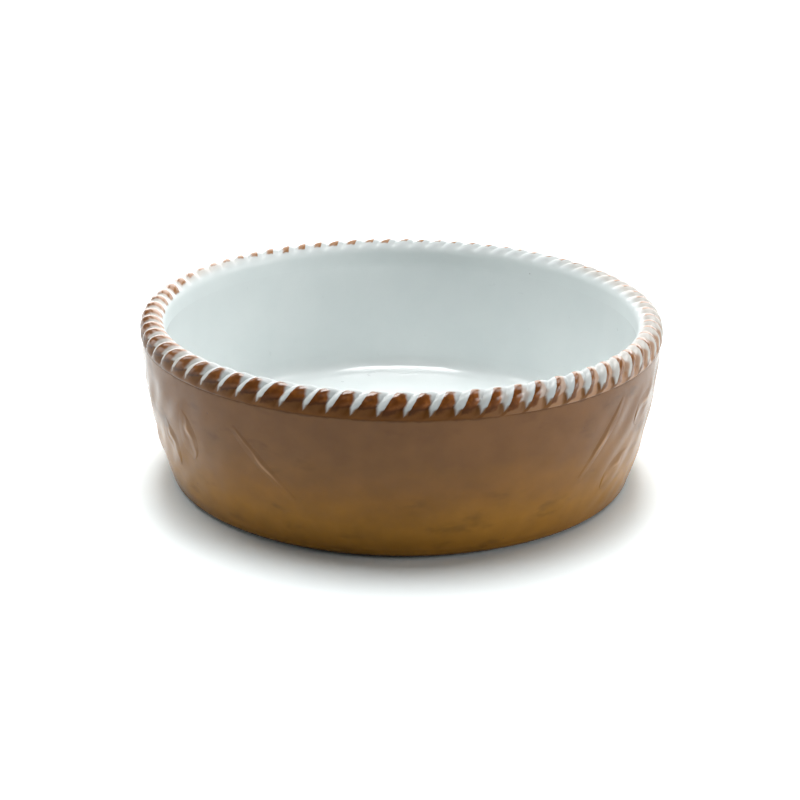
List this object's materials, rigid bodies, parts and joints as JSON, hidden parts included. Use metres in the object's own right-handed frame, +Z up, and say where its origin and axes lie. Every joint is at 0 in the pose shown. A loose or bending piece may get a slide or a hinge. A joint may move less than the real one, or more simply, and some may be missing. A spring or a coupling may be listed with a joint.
{
  "type": "round baking dish",
  "caption": "Round flared ceramic baking dish with a rope-twist rim, brown glazed outside with low relief stalks and leaves, white glazed inside, on a foot ring.",
  "frame": {"origin": "on the table under the middle of the dish", "axes": "+Z up along the axis of the dish, -Y towards the pictured front"},
  "size_m": [0.1998, 0.1998, 0.065],
  "materials": {
    "bare_clay": "unglazed, fine and matt",
    "white_glaze": "glossy white glaze",
    "brown_glaze": "glossy translucent brown glaze, ochre towards the foot",
    "rope_glaze": "glossy dark brown brush strokes over white glaze"
  },
  "bodies": {
    "root": {"foot_ring": "bare_clay", "floor": "white_glaze", "side_wall": "brown_glaze", "corner_coil": "white_glaze", "rope_rim": "rope_glaze", "front_stalk_right": "brown_glaze", "front_leaf_right_upper": "brown_glaze", "front_leaf_right_lower": "brown_glaze", "front_stalk_left": "brown_glaze", "front_leaf_left_upper": "brown_glaze", "front_leaf_left_lower": "brown_glaze", "back_stalk_right": "brown_glaze", "back_leaf_right_upper": "brown_glaze", "back_leaf_right_lower": "brown_glaze", "back_stalk_left": "brown_glaze", "back_leaf_left_upper": "brown_glaze", "back_leaf_left_lower": "brown_glaze"}
  },
  "joints": []
}
